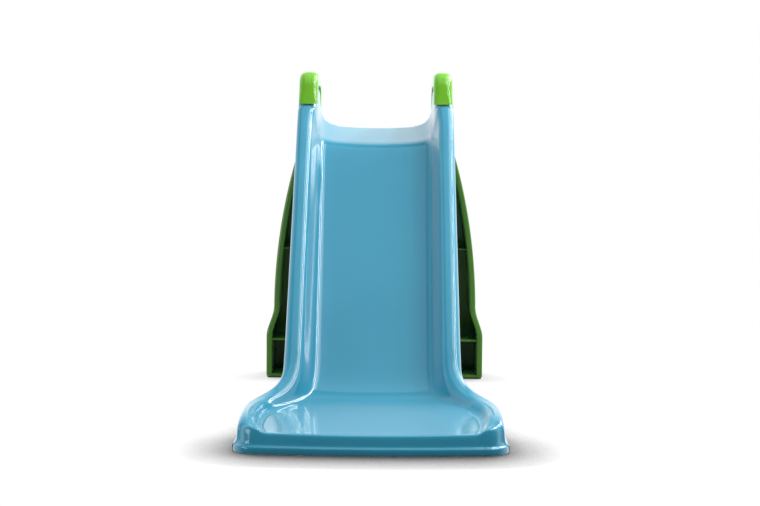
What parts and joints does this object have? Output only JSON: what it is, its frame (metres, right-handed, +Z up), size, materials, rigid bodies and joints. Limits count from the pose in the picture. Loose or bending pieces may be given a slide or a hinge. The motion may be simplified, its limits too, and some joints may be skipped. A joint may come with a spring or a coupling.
{
  "type": "toddler slide",
  "caption": "Small moulded slide with a flared tray base, raised side rails and a ladder with arched handrails that folds under the chute.",
  "frame": {"origin": "middle of the bottom of the bounding box, on the floor", "axes": "+Z up, +Y from the front lip of the tray back towards the ladder, +X to the right seen from the front"},
  "size_m": [0.457, 0.965, 0.641],
  "materials": {
    "blue_shell": "glossy moulded polyethylene",
    "green_shell": "glossy moulded polyethylene",
    "deep_green_shell": "glossy moulded polyethylene, deeper green",
    "nylon": "natural nylon",
    "cap_plastic": "dark satin plastic",
    "pad_rubber": "matt soft rubber",
    "zinc_steel": "bright zinc plate"
  },
  "bodies": {
    "slide": {"slide_chute": "blue_shell", "pivot_bush_left": "nylon", "pivot_bush_right": "nylon"},
    "ladder": {"ladder_side_left": "deep_green_shell", "ladder_side_right": "deep_green_shell", "handrail_left": "green_shell", "handrail_right": "green_shell", "lower_step": "deep_green_shell", "upper_step": "deep_green_shell", "foot_pad_left": "pad_rubber", "foot_pad_right": "pad_rubber", "pivot_rod": "zinc_steel", "rod_cap_left": "cap_plastic", "rod_cap_right": "cap_plastic", "pivot_washer_left": "nylon", "pivot_washer_right": "nylon", "lower_step_screws": "zinc_steel", "upper_step_screws": "zinc_steel", "handrail_screws": "zinc_steel"}
  },
  "joints": [
    {"name": "ladder_fold", "type": "hinge", "parent": "slide", "child": "ladder", "pos_m": [0, 0.4045, 0.48], "axis": [-1, 0, 0], "range_deg": [0, 48]}
  ]
}
